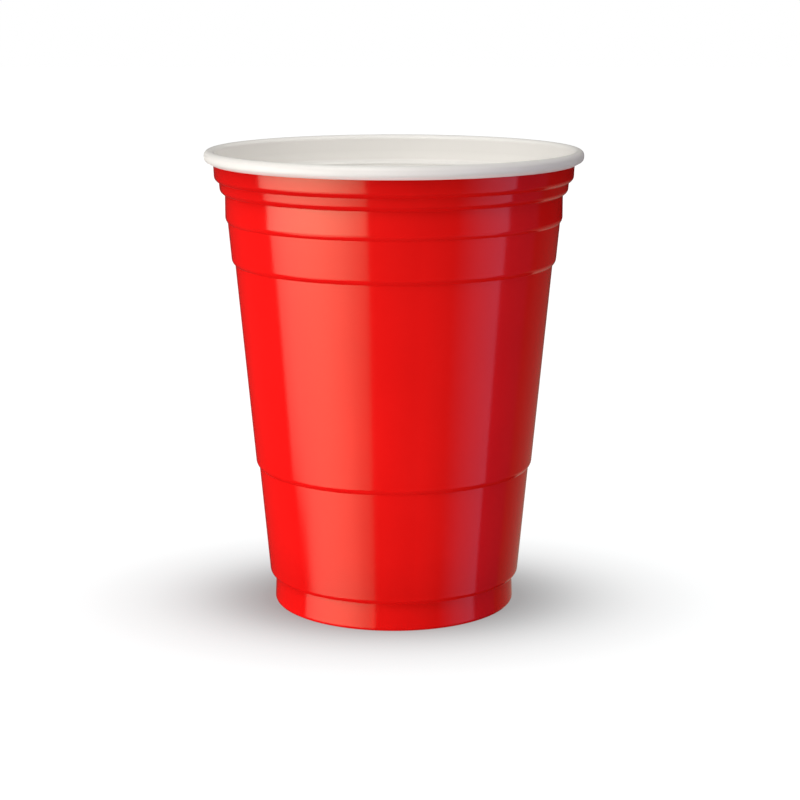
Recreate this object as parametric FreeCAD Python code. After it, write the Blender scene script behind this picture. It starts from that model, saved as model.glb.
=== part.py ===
import FreeCAD, Part

import math
import os

# Plastic party cup: one thin sheet of plastic, red outside and white inside, formed into a cup.
# Millimetres, Z up. The cup's axis is Z and the table that it stands on is z = 0.
# The red side is drawn as one path, from the middle of the floor to the lip under the rim.
# That path is thickened towards the white side and turned once round the axis.

# overall sizes
rim_diameter = 95.0
foot_diameter = 61.7
cup_height = 116.4
sheet_thickness = 0.4

# foot: a hollow ring that stands on the table, round a raised floor
floor_lift = 3.4
floor_bend = 0.6
foot_ring_width = 2.6
foot_ring_lean = 0.7
foot_bend = 0.9
foot_height = 7.1
foot_flare = 0.28

# height of each band of the wall, from its ledge to the next ledge up
# the body, which the hand holds, takes the height that the others leave
lower_wall_height = 28.7
shoulder_height = 10.6
stacking_band_height = 7.1
collar_height = 3.1
neck_height = 7.8

# how far each ledge stands out from the band below it
foot_ledge = 1.555
body_ledge = 0.80
shoulder_ledge = 0.885
stacking_ledge = 0.595
collar_ledge = 1.335
neck_ledge = 1.21

# slope of the neck, as a share of the slope that the drafted bands have
neck_draft_share = 0.6

# height over which a ledge rounds into the band above it
wide_ledge_rise = 1.5
narrow_ledge_rise = 1.55

# rolled rim: over the top, down outside, and back in towards the neck
rim_overhang = 2.16
rim_drop = 0.92
lip_bend = 0.7
lip_slope = 28.0
lip_gap = 0.2


def place(radius, height):
    return FreeCAD.Vector(radius, 0, height)


# straights from corner to corner, with each corner between the ends rounded to its radius
def rounded_straights(corners):
    edges = []
    start = corners[0][0]
    for (before, _), (here, radius), (after, _) in zip(corners, corners[1:], corners[2:]):
        arriving = (here - before).normalize()
        leaving = (after - here).normalize()
        half_turn = arriving.getAngle(leaving) / 2
        reach = radius * math.tan(half_turn)
        inward = (leaving - arriving).normalize()
        middle = here + inward * radius * (1 / math.cos(half_turn) - 1)
        edges.append(Part.makeLine(start, here - arriving * reach))
        start = here + leaving * reach
        edges.append(Part.Arc(here - arriving * reach, middle, start).toShape())
    edges.append(Part.makeLine(start, corners[-1][0]))
    return edges


# arc from start to end that runs smoothly into the straight from end to beyond
def arc_into(start, end, beyond):
    along = (beyond - end).normalize()
    inward = FreeCAD.Vector(-along.z, 0, along.x)
    chord = start - end
    radius = chord.dot(chord) / (2 * chord.dot(inward))
    centre = end + inward * radius
    middle = centre + (start + end - centre * 2).normalize() * radius
    return Part.Arc(start, middle, end).toShape()


# foot: floor, inner side of the ring, the face that stands on the table, outer side
def foot_edges():
    foot_radius = foot_diameter / 2
    inner_radius = foot_radius - foot_ring_width
    return rounded_straights([
        (place(0, floor_lift), 0),
        (place(inner_radius - foot_ring_lean, floor_lift), floor_bend),
        (place(inner_radius, 0), foot_bend),
        (place(foot_radius, 0), foot_bend),
        (place(foot_radius - foot_flare, foot_height), 0),
    ])


# wall: six bands, each on a ledge that stands out from the one below, up to the rim's roll
def wall_edges(neck_radius, roll_height):
    foot_top_radius = foot_diameter / 2 - foot_flare
    body_foot = foot_height + lower_wall_height
    neck_foot = cup_height - neck_height
    collar_foot = neck_foot - collar_height
    stacking_foot = collar_foot - stacking_band_height
    shoulder_foot = stacking_foot - shoulder_height

    # ledge, its rise, the height where its band ends, and how much of the draft the band has
    bands = [
        (foot_ledge, wide_ledge_rise, body_foot, 1),
        (body_ledge, narrow_ledge_rise, shoulder_foot, 1),
        (shoulder_ledge, narrow_ledge_rise, stacking_foot, 1),
        (stacking_ledge, narrow_ledge_rise, collar_foot, 0),
        (collar_ledge, wide_ledge_rise, neck_foot, 1),
        (neck_ledge, wide_ledge_rise, roll_height, neck_draft_share),
    ]
    # the drafted bands share one slope: what the ledges leave of the way out to the neck
    way_out = neck_radius - foot_top_radius
    drafted_height = 0
    foot = foot_height
    for ledge, rise, top, share in bands:
        way_out -= ledge
        drafted_height += share * (top - foot - rise)
        foot = top
    draft = way_out / drafted_height

    edges = []
    here = place(foot_top_radius, foot_height)
    for ledge, rise, top, share in bands:
        low = here + place(ledge, rise)
        high = place(low.x + share * draft * (top - low.z), top)
        edges.append(arc_into(here, low, high))
        edges.append(Part.makeLine(low, high))
        here = high
    return edges


# rim: half a turn over the top, the outer side, and the lip that turns back in to the neck
def rim_edges(neck_radius, roll_radius, roll_height):
    outer_radius = neck_radius + 2 * roll_radius
    top = place(neck_radius + roll_radius, roll_height + roll_radius)
    inside = place(neck_radius, roll_height)
    outside = place(outer_radius, roll_height)
    roll = Part.Arc(inside, top, outside).toShape()

    slope = math.radians(lip_slope)
    lip_radius = neck_radius + lip_gap
    corner = place(outer_radius, roll_height - rim_drop)
    lip_end = place(lip_radius, corner.z - (outer_radius - lip_radius) * math.tan(slope))
    return [roll] + rounded_straights([(outside, 0), (corner, lip_bend), (lip_end, 0)])


def make_cup():
    neck_radius = rim_diameter / 2 - rim_overhang
    roll_radius = (rim_overhang - sheet_thickness) / 2
    roll_height = cup_height - sheet_thickness - roll_radius
    edges = foot_edges()
    edges += wall_edges(neck_radius, roll_height)
    edges += rim_edges(neck_radius, roll_radius, roll_height)
    red_side = Part.Wire(edges)
    section = red_side.makeOffset2D(sheet_thickness, join=2, fill=True, openResult=True)
    return section.revolve(FreeCAD.Vector(0, 0, 0), FreeCAD.Vector(0, 0, 1), 360)


cup = make_cup()
os.makedirs("parts", exist_ok=True)
cup.exportStep("parts/cup.step")
box = cup.optimalBoundingBox(False)
print("cup:", cup.ShapeType, "valid", cup.isValid(), "faces", len(cup.Faces))
print("cup: across", round(box.XLength, 2), "high", round(box.ZMax, 2), "volume", round(cup.Volume, 1))
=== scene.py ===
import math

import bmesh
import bpy
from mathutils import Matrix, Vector


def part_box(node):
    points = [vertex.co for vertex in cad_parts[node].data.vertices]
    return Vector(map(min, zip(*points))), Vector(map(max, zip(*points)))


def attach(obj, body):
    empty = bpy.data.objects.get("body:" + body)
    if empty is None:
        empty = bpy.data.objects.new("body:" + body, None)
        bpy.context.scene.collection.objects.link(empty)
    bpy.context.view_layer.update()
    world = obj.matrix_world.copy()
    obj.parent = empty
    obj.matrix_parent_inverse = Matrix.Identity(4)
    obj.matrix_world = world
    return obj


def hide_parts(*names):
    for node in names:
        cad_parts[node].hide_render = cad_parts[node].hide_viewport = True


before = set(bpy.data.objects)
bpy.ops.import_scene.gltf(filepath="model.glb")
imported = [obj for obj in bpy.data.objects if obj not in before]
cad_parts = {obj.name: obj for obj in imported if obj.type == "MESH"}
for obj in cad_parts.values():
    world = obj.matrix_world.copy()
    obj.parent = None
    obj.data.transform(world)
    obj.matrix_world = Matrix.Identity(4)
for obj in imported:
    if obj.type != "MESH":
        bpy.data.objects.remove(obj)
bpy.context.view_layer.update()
cupLow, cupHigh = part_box("cup")

# Plastic party cup, red outside and white inside, from one sheet of plastic.
# Metres. The cup's axis is Z, it stands on z = 0 and the camera looks along +Y.
mm = 0.001


# the cup's sheet, drawn as its red side and thickened towards the white side
cupSheet = {
    "rimRadius": min(cupHigh[0], -cupLow[0], cupHigh[1], -cupLow[1]),
    "height": cupHigh[2],
    "thickness": 0.4 * mm,
    "footRadius": 30.85 * mm,
    "floorLift": 3.4 * mm,       # raised floor inside the foot ring
    "floorBend": 0.6 * mm,
    "footRingWidth": 2.6 * mm,
    "footRingLean": 0.7 * mm,
    "footBend": 0.9 * mm,
    "footHeight": 7.1 * mm,
    "footFlare": 0.28 * mm,
    # the wall's bands from the foot up: the ledge each stands on, the height that the ledge
    # rounds over, how far below the rim the band ends, and its share of the wall's draft
    "bands": [
        {"ledge": 1.555 * mm, "rise": 1.50 * mm, "top": 80.6 * mm, "draft": 1},    # lower wall
        {"ledge": 0.800 * mm, "rise": 1.55 * mm, "top": 28.6 * mm, "draft": 1},    # body
        {"ledge": 0.885 * mm, "rise": 1.55 * mm, "top": 18.0 * mm, "draft": 1},    # shoulder
        {"ledge": 0.595 * mm, "rise": 1.55 * mm, "top": 10.9 * mm, "draft": 0},    # stacking band
        {"ledge": 1.335 * mm, "rise": 1.50 * mm, "top": 7.8 * mm, "draft": 1},     # collar
        {"ledge": 1.210 * mm, "rise": 1.50 * mm, "top": None, "draft": 0.6},       # neck, up to the roll
    ],
    "creaseBend": 0.16 * mm,     # the sharp inner corner of each ledge
    "rimOverhang": 2.16 * mm,    # rolled rim
    "rimDrop": 0.92 * mm,
    "lipBend": 0.7 * mm,
    "lipSlope": 28,
    "lipGap": 0.2 * mm,
    "rollShare": 0.998,          # leaves a hair of straight between the roll's two quarter turns
    "creaseSteps": 2,            # edges that each kind of bend is split into
    "bendSteps": 5,
    "ledgeSteps": 7,
    "rollSteps": 9,
    "turnSteps": 320,
    "mergeWithin": 0.002 * mm,
    "shadingWeight": 90,
}


def addPoint(bm, line, radius, height, bend=0, steps=0):
    # next corner of the outline, joined to the last one
    corner = bm.verts.new((radius, 0, height))
    if line:
        bm.edges.new((line[-1][0], corner))
    line.append((corner, bend, steps))


def roundCorners(bm, line):
    # every corner with a bend becomes an arc of that radius
    for corner, bend, steps in line:
        if not bend:
            continue
        before, after = [(edge.other_vert(corner).co - corner.co).normalized()
                         for edge in corner.link_edges]
        halfTurn = (math.pi - before.angle(after)) / 2
        bmesh.ops.bevel(bm, geom=[corner], offset=bend * math.tan(halfTurn), offset_type='OFFSET',
                        segments=steps, profile=0.5, affect='VERTICES', clamp_overlap=False, material=-1)


def drawFoot(bm, line, cup):
    inner = cup["footRadius"] - cup["footRingWidth"]
    steps = cup["bendSteps"]
    addPoint(bm, line, 0, cup["floorLift"])
    addPoint(bm, line, inner - cup["footRingLean"], cup["floorLift"], cup["floorBend"], steps)
    addPoint(bm, line, inner, 0, cup["footBend"], steps)
    addPoint(bm, line, cup["footRadius"], 0, cup["footBend"], steps)


def drawWall(bm, line, cup, neckRadius, rollHeight):
    # the drafted bands share one slope: what the ledges leave of the way out to the neck
    bands = cup["bands"]
    tops = [rollHeight if band["top"] is None else cup["height"] - band["top"] for band in bands]
    feet = [cup["footHeight"]] + tops[:-1]
    here = Vector((cup["footRadius"] - cup["footFlare"], 0, cup["footHeight"]))
    wayOut = neckRadius - here.x - sum(band["ledge"] for band in bands)
    drafted = sum(band["draft"] * (top - foot - band["rise"])
                  for band, foot, top in zip(bands, feet, tops))

    crease = cup["creaseBend"]
    for band, top in zip(bands, tops):
        low = here + Vector((band["ledge"], 0, band["rise"]))
        slope = band["draft"] * wayOut / drafted
        high = Vector((low.x + slope * (top - low.z), 0, top))
        # corner that rounds from the crease into the band
        along = (high - low).normalized()
        chord = low - here
        reach = chord.dot(chord) / (2 * chord.dot(along))
        corner = low - along * reach
        halfTurn = along.angle(corner - here) / 2
        bend = (reach - crease) / math.tan(halfTurn)
        addPoint(bm, line, here.x, here.z, crease, cup["creaseSteps"])
        addPoint(bm, line, corner.x, corner.z, bend, cup["ledgeSteps"])
        here = high


def drawRim(bm, line, cup, neckRadius, rollRadius):
    rollTop = cup["height"] - cup["thickness"]
    outer = neckRadius + 2 * rollRadius
    quarterTurn = cup["rollShare"] * rollRadius
    addPoint(bm, line, neckRadius, rollTop, quarterTurn, cup["rollSteps"])
    addPoint(bm, line, outer, rollTop, quarterTurn, cup["rollSteps"])
    corner = rollTop - rollRadius - cup["rimDrop"]
    lip = neckRadius + cup["lipGap"]
    addPoint(bm, line, outer, corner, cup["lipBend"], cup["bendSteps"])
    addPoint(bm, line, lip, corner - (outer - lip) * math.tan(math.radians(cup["lipSlope"])))


def makeCup(materials):
    cup = cupSheet
    neckRadius = cup["rimRadius"] - cup["rimOverhang"]
    rollRadius = (cup["rimOverhang"] - cup["thickness"]) / 2
    rollHeight = cup["height"] - cup["thickness"] - rollRadius

    bm = bmesh.new()
    line = []
    drawFoot(bm, line, cup)
    drawWall(bm, line, cup, neckRadius, rollHeight)
    drawRim(bm, line, cup, neckRadius, rollRadius)
    roundCorners(bm, line)

    bmesh.ops.spin(bm, geom=bm.verts[:] + bm.edges[:], axis=(0, 0, 1), cent=(0, 0, 0),
                   angle=math.tau, steps=cup["turnSteps"], use_merge=True)
    bmesh.ops.remove_doubles(bm, verts=bm.verts, dist=cup["mergeWithin"])
    bmesh.ops.recalc_face_normals(bm, faces=bm.faces)
    # the largest face lies on the body, so it shows whether the red side faces outwards
    wallFace = max(bm.faces, key=lambda face: face.calc_area())
    outwards = wallFace.calc_center_median()
    outwards.z = 0
    if wallFace.normal.dot(outwards) < 0:
        bmesh.ops.reverse_faces(bm, faces=bm.faces)
    for face in bm.faces:
        face.smooth = True

    mesh = bpy.data.meshes.new("party_cup")
    bm.to_mesh(mesh)
    bm.free()
    piece = bpy.data.objects.new("party_cup", mesh)
    bpy.context.scene.collection.objects.link(piece)
    for material in materials:
        mesh.materials.append(material)

    # the red side gets its thickness inwards, with the second material on the new side and the edge
    sheet = piece.modifiers.new("sheet", 'SOLIDIFY')
    sheet.thickness = cup["thickness"]
    sheet.offset = -1
    sheet.use_even_offset = True
    sheet.use_rim = True
    sheet.material_offset = 1
    sheet.material_offset_rim = 1
    shading = piece.modifiers.new("shading", 'WEIGHTED_NORMAL')
    shading.weight = cup["shadingWeight"]

    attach(piece, "root")
    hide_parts("cup")
    print("cup:", len(mesh.vertices), "points on the red side")
    return piece


# nodes

upTheCup = (0, 0, 1)      # directions that a distance is taken along
fromTheAxis = (1, 1, 0)
noiseRun = (0.3, 0.7)     # where most of a noise's values lie


def newNode(tree, kind, **inputs):
    # an underscore in an input's name stands for a space
    node = tree.nodes.new(kind)
    for name, value in inputs.items():
        node.inputs[name.replace("_", " ")].default_value = value
    return node


def startMaterial(name):
    material = bpy.data.materials.new(name)
    material.use_nodes = True
    tree = material.node_tree
    return material, tree, tree.nodes["Principled BSDF"]


def noiseOn(tree, scale, stretch=(1, 1, 1), detail=2):
    # noise with that many features to the metre, drawn out along an axis by a low stretch
    place = tree.nodes.new('ShaderNodeTexCoord')
    mapping = newNode(tree, 'ShaderNodeMapping', Scale=stretch)
    noise = newNode(tree, 'ShaderNodeTexNoise', Scale=scale, Detail=detail)
    tree.links.new(place.outputs["Object"], mapping.inputs["Vector"])
    tree.links.new(mapping.outputs["Vector"], noise.inputs["Vector"])
    return noise.outputs["Fac"]


def remapped(tree, source, ends, results=(0, 1)):
    # as the source runs between the ends, the value runs between the results
    spread = newNode(tree, 'ShaderNodeMapRange', From_Min=ends[0], From_Max=ends[1],
                     To_Min=results[0], To_Max=results[1])
    tree.links.new(source, spread.inputs["Value"])
    return spread.outputs["Result"]


def mixedColour(tree, share, first, second):
    mix = tree.nodes.new('ShaderNodeMix')
    mix.data_type = 'RGBA'
    mix.inputs["A"].default_value = (*first, 1)
    mix.inputs["B"].default_value = (*second, 1)
    tree.links.new(share, mix.inputs["Factor"])
    return mix.outputs["Result"]


def curveOf(tree, source, stops):
    # value that follows the stops as the source goes from 0 to 1
    curve = tree.nodes.new('ShaderNodeFloatCurve')
    points = curve.mapping.curves[0].points
    points[0].location = stops[0]
    points[1].location = stops[-1]
    for stop in stops[1:-1]:
        points.new(*stop)
    curve.mapping.update()
    tree.links.new(source, curve.inputs["Value"])
    return curve.outputs["Value"]


def distanceCurve(tree, along, stops):
    # value that follows the stops, in millimetres, along that direction from the middle of the foot
    place = tree.nodes.new('ShaderNodeTexCoord')
    mapping = newNode(tree, 'ShaderNodeMapping', Scale=along)
    distance = tree.nodes.new('ShaderNodeVectorMath')
    distance.operation = 'LENGTH'
    tree.links.new(place.outputs["Object"], mapping.inputs["Vector"])
    tree.links.new(mapping.outputs["Vector"], distance.inputs[0])
    near, far = stops[0][0], stops[-1][0]
    share = remapped(tree, distance.outputs["Value"], (near * mm, far * mm))
    return curveOf(tree, share, [((at - near) / (far - near), value) for at, value in stops])


def joined(tree, operation, first, second):
    both = tree.nodes.new('ShaderNodeMath')
    both.operation = operation
    tree.links.new(first, both.inputs[0])
    tree.links.new(second, both.inputs[1])
    return both.outputs["Value"]


def scaledColour(tree, colour, amount):
    scale = tree.nodes.new('ShaderNodeVectorMath')
    scale.operation = 'SCALE'
    tree.links.new(colour, scale.inputs[0])
    tree.links.new(amount, scale.inputs["Scale"])
    return scale.outputs["Vector"]


def stackBumps(tree, shader, bumps):
    last = None
    for source, depth in bumps:
        bump = newNode(tree, 'ShaderNodeBump', Distance=depth)
        tree.links.new(source, bump.inputs["Height"])
        if last:
            tree.links.new(last, bump.inputs["Normal"])
        last = bump.outputs["Normal"]
    tree.links.new(last, shader.inputs["Normal"])


# the outside: sizes are features to the metre, and the curve by the height in millimetres darkens the red as
# painted shade round the foot and up the neck under the rolled rim
redPlastic = {
    "deep": (0.70, 0.0055, 0.0050),
    "bright": (0.75, 0.0065, 0.0060),
    "cloudSize": 40,
    "cloudDetail": 3,
    "shine": (1.0, 0.94, 0.63),
    "shineLevel": 0.34,
    "paintedShadeUp": [
        (0.0, 0.97), (7.2, 0.94), (9.0, 0.90), (13.0, 0.93), (22.0, 1.0), (98.0, 1.0),
        (102.0, 0.98), (104.5, 0.93), (107.0, 0.89), (110.5, 0.85), (112.0, 0.83), (114.0, 0.78),
    ],
    "roughness": (0.10, 0.14),
    "peelSize": 900,
    "peelDepth": 0.004 * mm,
    "streakSize": 160,
    "streakStretch": (1, 1, 0.06),
    "streakDepth": 0.012 * mm,
}


def makeRedPlastic():
    finish = redPlastic
    material, tree, shader = startMaterial("red_plastic")
    clouds = noiseOn(tree, finish["cloudSize"], detail=finish["cloudDetail"])
    streaks = noiseOn(tree, finish["streakSize"], stretch=finish["streakStretch"])
    peel = noiseOn(tree, finish["peelSize"])
    colour = mixedColour(tree, remapped(tree, clouds, noiseRun), finish["deep"], finish["bright"])
    # painted shade by the height: darker round the foot and up the neck under the rolled rim
    depth = distanceCurve(tree, upTheCup, finish["paintedShadeUp"])
    tree.links.new(scaledColour(tree, colour, depth), shader.inputs["Base Color"])
    tree.links.new(remapped(tree, streaks, noiseRun, finish["roughness"]), shader.inputs["Roughness"])
    shader.inputs["Specular IOR Level"].default_value = finish["shineLevel"]
    shader.inputs["Specular Tint"].default_value = (*finish["shine"], 1)
    stackBumps(tree, shader, [(streaks, finish["streakDepth"]), (peel, finish["peelDepth"])])
    return material


# the inside and the rolled rim: the curve by the height paints shade on the rim's outer side and on the ledge
# inside the neck, and the curve by the distance from the axis in millimetres lifts that painted shade again
# on the rim's top
whitePlastic = {
    "deep": (0.952, 0.934, 0.900),
    "bright": (0.972, 0.954, 0.920),
    "cloudSize": 40,
    "cloudDetail": 3,
    "paintedShadeUp": [
        (106.0, 1.0), (108.2, 1.0), (108.6, 0.80), (109.2, 0.80), (110.0, 1.0), (112.8, 0.97),
        (113.4, 0.90), (113.9, 0.81), (114.4, 0.78), (114.8, 0.79), (115.2, 0.78), (115.7, 0.73),
        (116.1, 0.67), (116.4, 0.67),
    ],
    "paintedShadeOut": [
        (44.4, 0.0), (44.65, 0.0), (44.75, 1.0), (45.0, 0.95), (45.3, 0.85), (45.6, 0.77),
        (45.9, 0.70), (46.2, 0.65), (48.0, 0.0),
    ],
    "shineLevel": 0.30,
    "roughness": (0.34, 0.44),
    "peelSize": 700,
    "peelDepth": 0.004 * mm,
}


def makeWhitePlastic():
    finish = whitePlastic
    material, tree, shader = startMaterial("white_plastic")
    clouds = noiseOn(tree, finish["cloudSize"], detail=finish["cloudDetail"])
    peel = noiseOn(tree, finish["peelSize"])
    colour = mixedColour(tree, remapped(tree, clouds, noiseRun), finish["deep"], finish["bright"])
    # painted shade on the rim's outer side and the ledge inside the neck, the lighter of the two curves
    # winning
    depth = joined(tree, 'MAXIMUM', distanceCurve(tree, upTheCup, finish["paintedShadeUp"]),
                   distanceCurve(tree, fromTheAxis, finish["paintedShadeOut"]))
    tree.links.new(scaledColour(tree, colour, depth), shader.inputs["Base Color"])
    tree.links.new(remapped(tree, clouds, noiseRun, finish["roughness"]), shader.inputs["Roughness"])
    shader.inputs["Specular IOR Level"].default_value = finish["shineLevel"]
    stackBumps(tree, shader, [(peel, finish["peelDepth"])])
    return material


# room and floor
studio = {
    "fill": 0.33,                        # what the room gives from every side
    "floorSize": 6.0,
    "floorColour": (0.85, 0.85, 0.85),
    "floorSeen": (0.17, 0.20, 0.205),    # what the camera sees in place of that, under the glow, a shade cooler to take the red of the cup's bounce light out of the floor's shadow
    "floorGlowAndPaintedShadow": [                       # by the distance from the middle of the foot in millimetres, lower near the foot as a painted shadow
        (0, 0.30), (32, 0.325), (34.5, 0.356), (39.5, 0.432), (44.5, 0.52), (49.5, 0.609), (54.5, 0.686),
        (59.5, 0.749), (64.5, 0.802), (69.5, 0.84), (74.5, 0.87), (82, 0.91), (95, 0.94), (300, 1.0),
    ],
    "paintedShadowStretch": (1.0, 1.3, 1.0),
}


def seenRays(tree):
    # 1 for camera, glossy and transmission rays, 0 for the rays that light things
    path = tree.nodes.new('ShaderNodeLightPath')
    seen = path.outputs["Is Camera Ray"]
    for name in ("Is Glossy Ray", "Is Transmission Ray"):
        seen = joined(tree, 'MAXIMUM', seen, path.outputs[name])
    return seen


def makeWorld():
    world = bpy.data.worlds.new("studio")
    world.use_nodes = True
    bpy.context.scene.world = world
    tree = world.node_tree
    tree.nodes.clear()
    fill = newNode(tree, 'ShaderNodeBackground', Color=(1, 1, 1, 1), Strength=studio["fill"])
    white = newNode(tree, 'ShaderNodeBackground', Color=(1, 1, 1, 1), Strength=1)
    mix = tree.nodes.new('ShaderNodeMixShader')
    out = tree.nodes.new('ShaderNodeOutputWorld')
    tree.links.new(seenRays(tree), mix.inputs["Fac"])
    tree.links.new(fill.outputs[0], mix.inputs[1])
    tree.links.new(white.outputs[0], mix.inputs[2])
    tree.links.new(mix.outputs[0], out.inputs["Surface"])
    print("room: white, with a fill of", studio["fill"])


def addStagePiece(name, bm):
    mesh = bpy.data.meshes.new(name)
    bm.to_mesh(mesh)
    bm.free()
    piece = bpy.data.objects.new(name, mesh)
    bpy.context.scene.collection.objects.link(piece)
    return piece


def makeFloor():
    bm = bmesh.new()
    bmesh.ops.create_grid(bm, x_segments=1, y_segments=1, size=studio["floorSize"] / 2)
    floor = addStagePiece("floor", bm)

    material, tree, shader = startMaterial("pale_floor")
    shader.inputs["Roughness"].default_value = 1
    shader.inputs["Specular IOR Level"].default_value = 0
    seen = seenRays(tree)
    colour = mixedColour(tree, seen, studio["floorColour"], studio["floorSeen"])
    tree.links.new(colour, shader.inputs["Base Color"])
    glow = newNode(tree, 'ShaderNodeEmission', Color=(1, 1, 1, 1))
    # the glow dips round the foot and reaches further sideways: a painted shadow on top of the floor's own
    level = distanceCurve(tree, studio["paintedShadowStretch"], studio["floorGlowAndPaintedShadow"])
    tree.links.new(joined(tree, 'MULTIPLY', level, seen), glow.inputs["Strength"])
    both = tree.nodes.new('ShaderNodeAddShader')
    tree.links.new(shader.outputs[0], both.inputs[0])
    tree.links.new(glow.outputs[0], both.inputs[1])
    tree.links.new(both.outputs[0], tree.nodes["Material Output"].inputs["Surface"])
    floor.data.materials.append(material)
    floor.visible_glossy = False   # the softboxes reach below it in the gloss
    print("floor:", studio["floorSize"], "m across")


# cards that only the gloss sees; bearings are degrees from the camera's side, + to the right.
# The colour goes to the end colour from one side to the other, and the strength is at bottom and top.
cards = {
    "dark_cards": {
        "from": -180, "to": 180, "radius": 2.0, "bottom": -2.4, "top": 0.9, "base": True,
        "colour": (0.0105, 0.0105, 0.009), "end": (0.0105, 0.0105, 0.009), "strength": (1.0, 1.0),
    },
    "upper_cards": {
        "from": -180, "to": 180, "radius": 2.0, "bottom": 0.9, "top": 3.5, "base": False,
        "colour": (0.30, 0.27, 0.25), "end": (0.30, 0.27, 0.25), "strength": (1.0, 1.0),
    },
    "mauve_card": {
        "from": 82, "to": 113, "radius": 1.9, "bottom": -1.6, "top": 0.5, "base": False,
        "colour": (0.08, 0.055, 0.24), "end": (0.08, 0.05, 0.11), "strength": (1.06, 0.88),
    },
    "grey_card": {
        "from": 113, "to": 176, "radius": 1.8, "bottom": -0.95, "top": -0.1, "base": False,
        "colour": (0.07, 0.05, 0.04), "end": (0.24, 0.19, 0.15), "strength": (2.5, 0.0),
    },
    "far_left_card": {
        "from": -176, "to": -100, "radius": 1.8, "bottom": -0.95, "top": 0.1, "base": False,
        "colour": (0.10, 0.08, 0.07), "end": (0.09, 0.07, 0.06), "strength": (0.5, 0.3),
    },
}
cardSteps = 48


def bearing(degrees):
    return math.sin(math.radians(degrees)), -math.cos(math.radians(degrees))


def makeCard(name, card):
    # a curved card round the set, drawn as an upright line and spun about the cup
    bm = bmesh.new()
    x, y = bearing(card["from"])
    corners = [(x * card["radius"], y * card["radius"], card[end]) for end in ("bottom", "top")]
    if card["base"]:
        corners.insert(0, (0, 0, card["bottom"]))
    points = [bm.verts.new(corner) for corner in corners]
    for pair in zip(points, points[1:]):
        bm.edges.new(pair)
    bmesh.ops.spin(bm, geom=bm.verts[:] + bm.edges[:], axis=(0, 0, 1), cent=(0, 0, 0),
                   angle=math.radians(card["to"] - card["from"]), steps=cardSteps)
    bmesh.ops.remove_doubles(bm, verts=bm.verts, dist=mm)
    piece = addStagePiece(name, bm)

    material, tree, _ = startMaterial(name)
    place = tree.nodes.new('ShaderNodeTexCoord')
    split = tree.nodes.new('ShaderNodeSeparateXYZ')
    glow = tree.nodes.new('ShaderNodeEmission')
    tree.links.new(place.outputs["Object"], split.inputs[0])
    # a card all round starts and ends at the same depth, and the millimetre keeps those apart
    startDepth, endDepth = [card["radius"] * bearing(card[side])[1] for side in ("from", "to")]
    across = remapped(tree, split.outputs["Y"], (startDepth, endDepth + mm))
    upwards = remapped(tree, split.outputs["Z"], (card["bottom"], card["top"]), card["strength"])
    tree.links.new(mixedColour(tree, across, card["colour"], card["end"]), glow.inputs["Color"])
    tree.links.new(upwards, glow.inputs["Strength"])
    tree.links.new(glow.outputs[0], tree.nodes["Material Output"].inputs["Surface"])
    piece.data.materials.append(material)
    piece.visible_camera = False
    piece.visible_diffuse = False
    piece.visible_transmission = False
    piece.visible_shadow = False
    print(name + ":", card["to"] - card["from"], "degrees round")


# softboxes: upright ones stand round the cup, and the others face the foot from where they are over.
# Only one with "floor" lights the floor too, and only one with "gloss" shows in the gloss.
softboxes = {
    "left_softbox": {
        "from": -92.5, "to": -17.4, "distance": 0.9, "bottom": -0.70, "top": 0.12,
        "colour": (1.0, 0.97, 0.93), "strength": 6.8, "floor": False, "gloss": True,
        "across": [
            (0.0, 0.40), (0.12, 0.62), (0.30, 0.88), (0.50, 1.0), (0.66, 0.90), (0.85, 0.62), (1.0, 0.34),
        ],
        "upwards": [(0.0, 0.35), (0.329, 0.43), (0.512, 0.52), (0.634, 0.62), (0.841, 1.0), (1.0, 1.0)],
        "softEnd": [(0.0, 0.0), (0.06, 0.06), (0.18, 0.66), (0.30, 1.0), (1.0, 1.0)],
        "softUpTo": [(0.0, 0.0), (0.30, 0.0), (0.37, 0.4), (0.46, 1.0), (1.0, 1.0)],
    },
    "right_softbox": {
        "from": 43, "to": 81.5, "distance": 0.9, "bottom": -0.70, "top": 0.12,
        "colour": (1.0, 0.74, 1.60), "strength": 1.33, "floor": False, "gloss": True,
        "across": [(0.0, 0.04), (0.2, 0.28), (0.5, 0.68), (1.0, 1.0)],
        "upwards": [(0.0, 0.50), (0.5, 0.80), (1.0, 1.12)],
    },
    "key_softbox": {
        "over": (-0.45, -0.60, 0.95), "wide": 0.6, "deep": 0.6,
        "colour": (1.0, 0.98, 0.95), "strength": 6.1, "floor": False, "gloss": True,
    },
    "side_softbox": {
        "over": (0.85, 0.10, 0.32), "wide": 0.5, "deep": 0.5,
        "colour": (1.0, 0.91, 0.90), "strength": 1.15, "floor": False, "gloss": False,
    },
    "top_softbox": {
        "over": (0, 0, 0.8), "wide": 1.2, "deep": 0.5,
        "colour": (1.0, 0.99, 0.97), "strength": 1.0, "floor": True, "gloss": False,
    },
}


def shadeSoftbox(lamp, box):
    lamp.use_nodes = True
    tree = lamp.node_tree
    place = tree.nodes.new('ShaderNodeNewGeometry')
    split = tree.nodes.new('ShaderNodeSeparateXYZ')
    tree.links.new(place.outputs["Parametric"], split.inputs[0])
    strength = joined(tree, 'MULTIPLY', curveOf(tree, split.outputs["X"], box["across"]),
                      curveOf(tree, split.outputs["Y"], box["upwards"]))
    if "softEnd" in box:
        # low down, one end of the box fades out
        fade = joined(tree, 'MAXIMUM', curveOf(tree, split.outputs["X"], box["softEnd"]),
                      curveOf(tree, split.outputs["Y"], box["softUpTo"]))
        strength = joined(tree, 'MULTIPLY', strength, fade)
    tree.links.new(strength, tree.nodes["Emission"].inputs["Strength"])


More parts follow.
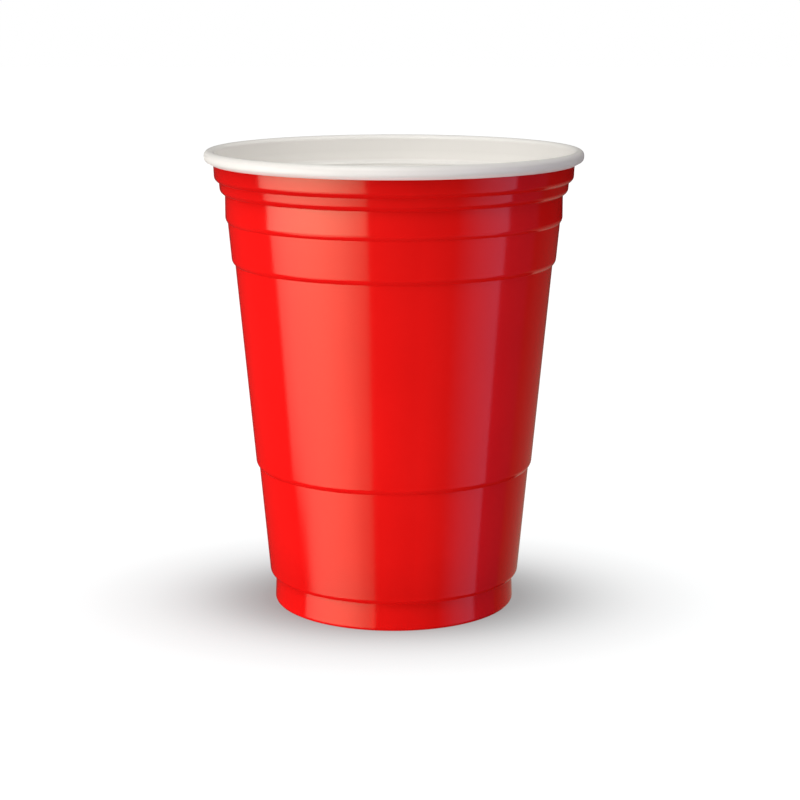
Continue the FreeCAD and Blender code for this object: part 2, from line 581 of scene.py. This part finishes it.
def makeSoftbox(name, box, onlyCup):
    lamp = bpy.data.lights.new(name, 'AREA')
    lamp.shape = 'RECTANGLE'
    lamp.color = box["colour"]
    softbox = bpy.data.objects.new(name, lamp)
    if "over" in box:
        lamp.size, lamp.size_y = box["wide"], box["deep"]
        softbox.location = box["over"]
        facing = -softbox.location
    else:
        x, y = bearing((box["from"] + box["to"]) / 2)
        half = math.radians((box["to"] - box["from"]) / 2)
        lamp.size = 2 * box["distance"] * math.tan(half)
        lamp.size_y = box["top"] - box["bottom"]
        softbox.location = (x * box["distance"], y * box["distance"], (box["top"] + box["bottom"]) / 2)
        facing = Vector((-x, -y, 0))
        shadeSoftbox(lamp, box)
    lamp.energy = box["strength"] * lamp.size * lamp.size_y * math.pi   # strength is what a mirror would show
    softbox.rotation_euler = facing.to_track_quat('-Z', 'Y').to_euler()
    softbox.visible_camera = False
    softbox.visible_glossy = box["gloss"]
    if not box["floor"]:
        softbox.light_linking.receiver_collection = onlyCup
        softbox.light_linking.blocker_collection = onlyCup
    bpy.context.scene.collection.objects.link(softbox)
    print(name + ":", round(lamp.size, 3), "by", round(lamp.size_y, 3), "m")


# camera where the photograph was taken from
photoCamera = {
    "back": 0.5162,
    "up": 0.1599,
    "downTilt": 11.793,
    "lens": 92.45,
    "sensor": 36,
    "shiftX": 0.0076,
    "nearest": 0.01,
}


def makeCamera():
    data = bpy.data.cameras.new("camera")
    data.lens = photoCamera["lens"]
    data.sensor_width = photoCamera["sensor"]
    data.shift_x = photoCamera["shiftX"]
    data.clip_start = photoCamera["nearest"]
    camera = bpy.data.objects.new("camera", data)
    camera.location = (0, -photoCamera["back"], photoCamera["up"])
    camera.rotation_euler = (math.radians(90 - photoCamera["downTilt"]), 0, 0)
    bpy.context.scene.collection.objects.link(camera)
    bpy.context.scene.camera = camera
    print("camera:", photoCamera["back"], "m back,", photoCamera["up"], "m up")


partyCup = makeCup([makeRedPlastic(), makeWhitePlastic()])
makeWorld()
makeFloor()
for cardName, cardValues in cards.items():
    makeCard(cardName, cardValues)
onlyCup = bpy.data.collections.new("only_the_cup")
onlyCup.objects.link(partyCup)
for softboxName, softboxValues in softboxes.items():
    makeSoftbox(softboxName, softboxValues, onlyCup)
makeCamera()
bpy.context.scene.view_settings.view_transform = 'Standard'

bpy.context.view_layer.update()
